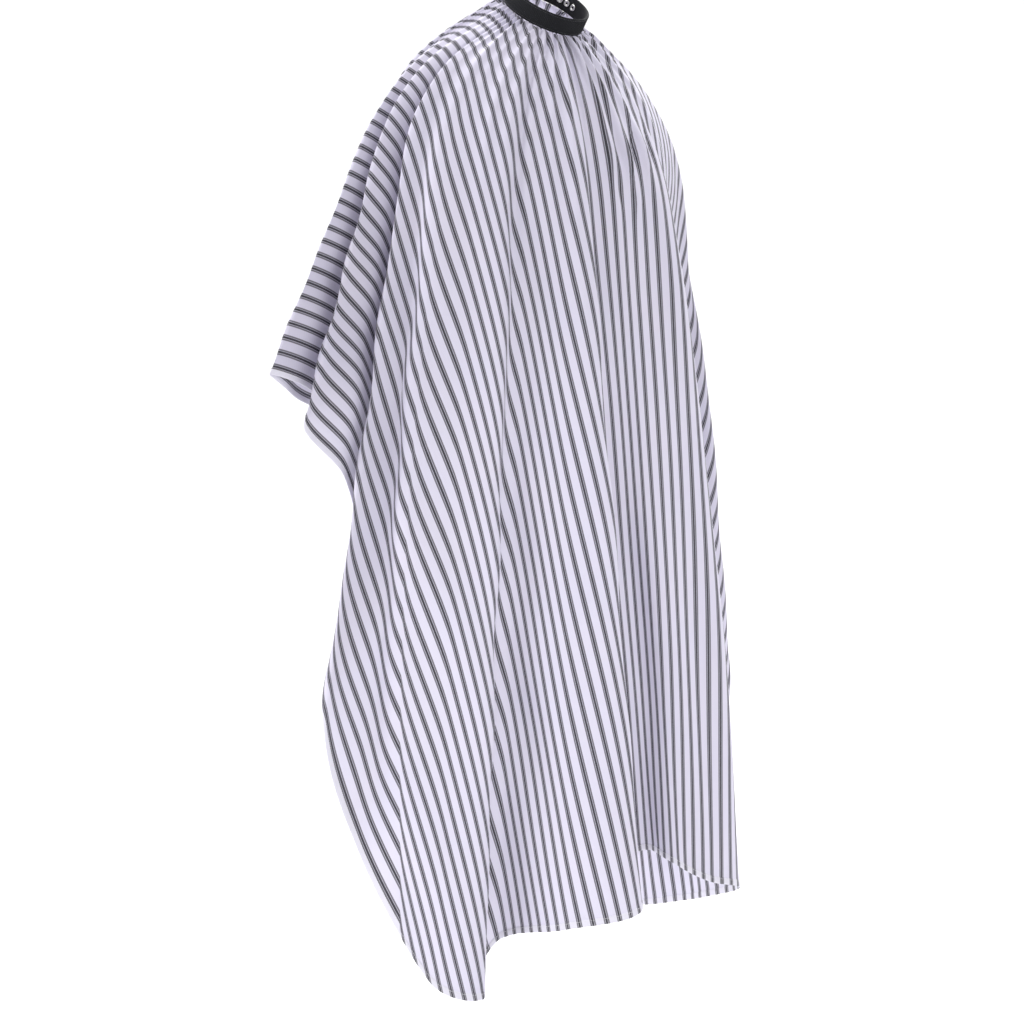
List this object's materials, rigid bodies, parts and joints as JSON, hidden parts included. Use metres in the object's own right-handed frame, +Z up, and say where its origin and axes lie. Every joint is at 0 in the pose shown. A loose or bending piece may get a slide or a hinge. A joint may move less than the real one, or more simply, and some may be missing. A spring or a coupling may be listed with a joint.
{
  "type": "barber cape",
  "caption": "Striped barber cape that covers the wearer from neck to shins, gathered into an elastic neckband that snaps shut at the back.",
  "frame": {"origin": "centre of the closed neckband, where the wearer's neck holds the cape up", "axes": "+Z up, the wearer faces -Y, the wearer's left is +X"},
  "size_m": [0.8275, 0.4039, 1.3761],
  "materials": {
    "striped_cloth": "thin woven polyester, pale lavender white with charcoal pinstripes",
    "hem_cloth": "turned and stitched edge of the same cloth",
    "ribbed_elastic": "matt black ribbed elastic",
    "lining_tape": "soft black woven tape",
    "snap_cap": "black enamel, satin",
    "snap_metal": "nickel plated"
  },
  "bodies": {
    "cape": {"cape_panel_back_right": "striped_cloth", "cape_panel_sleeve_right": "striped_cloth", "cape_panel_side_right": "striped_cloth", "cape_panel_front_right": "striped_cloth", "cape_panel_front_middle": "striped_cloth", "cape_panel_front_left": "striped_cloth", "cape_panel_side_left": "striped_cloth", "cape_panel_sleeve_left": "striped_cloth", "cape_panel_back_left": "striped_cloth", "hem_front": "hem_cloth", "hem_right": "hem_cloth", "hem_left": "hem_cloth", "hem_back_right": "hem_cloth", "hem_back_left": "hem_cloth", "slit_hem_right": "hem_cloth", "slit_hem_left": "hem_cloth", "neckband_elastic": "ribbed_elastic", "neckband_lining": "lining_tape", "snap_stud_1": "snap_metal", "snap_stud_2": "snap_metal", "snap_stud_3": "snap_metal", "snap_stud_4": "snap_metal", "snap_stud_5": "snap_metal", "snap_stud_6": "snap_metal", "snap_stud_back_1": "snap_metal", "snap_stud_back_2": "snap_metal", "snap_stud_back_3": "snap_metal", "snap_stud_back_4": "snap_metal", "snap_stud_back_5": "snap_metal", "snap_stud_back_6": "snap_metal"},
    "closing_tab": {"closing_tab_elastic": "ribbed_elastic", "closing_tab_lining": "lining_tape", "snap_cap_1": "snap_cap", "snap_cap_2": "snap_cap", "snap_socket_1": "snap_metal", "snap_socket_2": "snap_metal"}
  },
  "joints": [
    {"name": "closing_tab_hinge", "type": "hinge", "parent": "cape", "child": "closing_tab", "pos_m": [-0.002, 0.053, 0.0414], "axis": [0, -0.6157, 0.788], "range_deg": [0, 120]}
  ]
}
